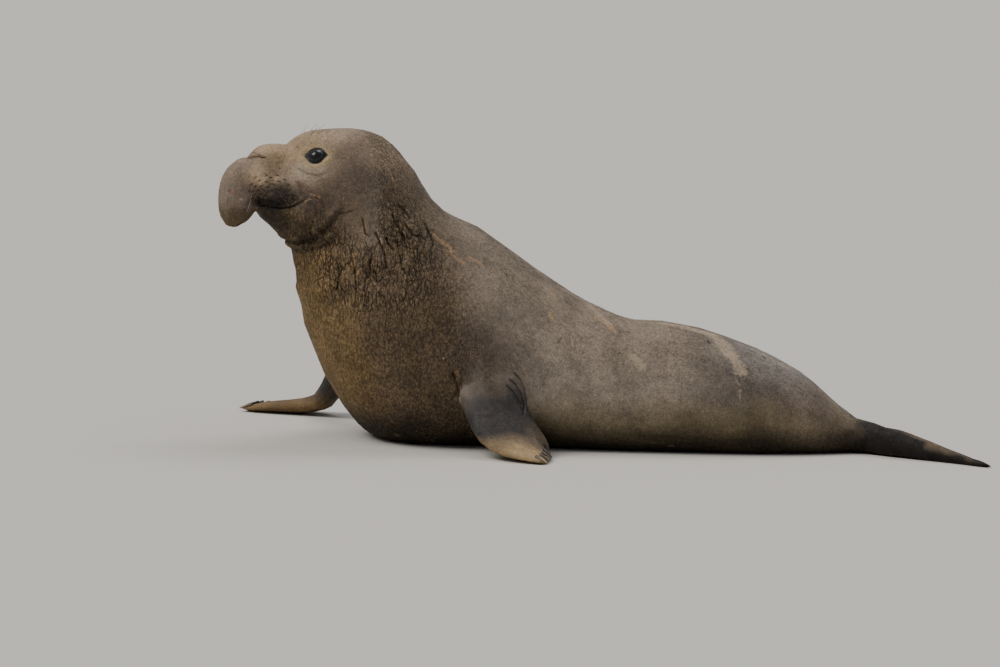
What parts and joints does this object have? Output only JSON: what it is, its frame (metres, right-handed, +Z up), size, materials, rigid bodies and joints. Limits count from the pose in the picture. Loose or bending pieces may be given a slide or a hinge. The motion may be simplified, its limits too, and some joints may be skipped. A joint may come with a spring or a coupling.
{
  "type": "northern elephant seal bull",
  "caption": "Life-size still model of a bull elephant seal lying on its belly with head and chest reared and one fore flipper reaching ahead.",
  "frame": {"origin": "on the floor, in the middle of the flat of the belly", "axes": "+X towards the tail along the body, +Y towards the seal's right side, +Z up"},
  "size_m": [3.5827, 1.8221, 1.4321],
  "materials": {
    "skin_head": "short tan-brown coat, paler round the eyes, greyer on the trunk",
    "skin_neck": "thick, cracked and pebbled dark brown shield with golden-brown high spots",
    "skin_body": "short grey-brown coat with olive-buff underside, tan shed patches and old scars",
    "skin_fore_flipper": "dark grey-brown forearm and golden-tan hand",
    "skin_hind_flipper": "nearly black-brown, with a tan upper edge",
    "eye": "wet, glossy and nearly black",
    "claw": "ridged horn, from pale to dark brown"
  },
  "bodies": {
    "root": {"head": "skin_head", "proboscis": "skin_head", "lower_jaw": "skin_head", "neck": "skin_neck", "chest": "skin_neck", "torso": "skin_body", "hind_body": "skin_body", "tail": "skin_hind_flipper", "fore_flipper_left": "skin_fore_flipper", "fore_flipper_right": "skin_fore_flipper", "hind_flipper_left": "skin_hind_flipper", "hind_flipper_right": "skin_hind_flipper", "eye_left": "eye", "eye_right": "eye", "claw_left_1": "claw", "claw_left_2": "claw", "claw_left_3": "claw", "claw_left_4": "claw", "claw_left_5": "claw", "claw_right_1": "claw", "claw_right_2": "claw", "claw_right_3": "claw", "claw_right_4": "claw", "claw_right_5": "claw"}
  },
  "joints": []
}
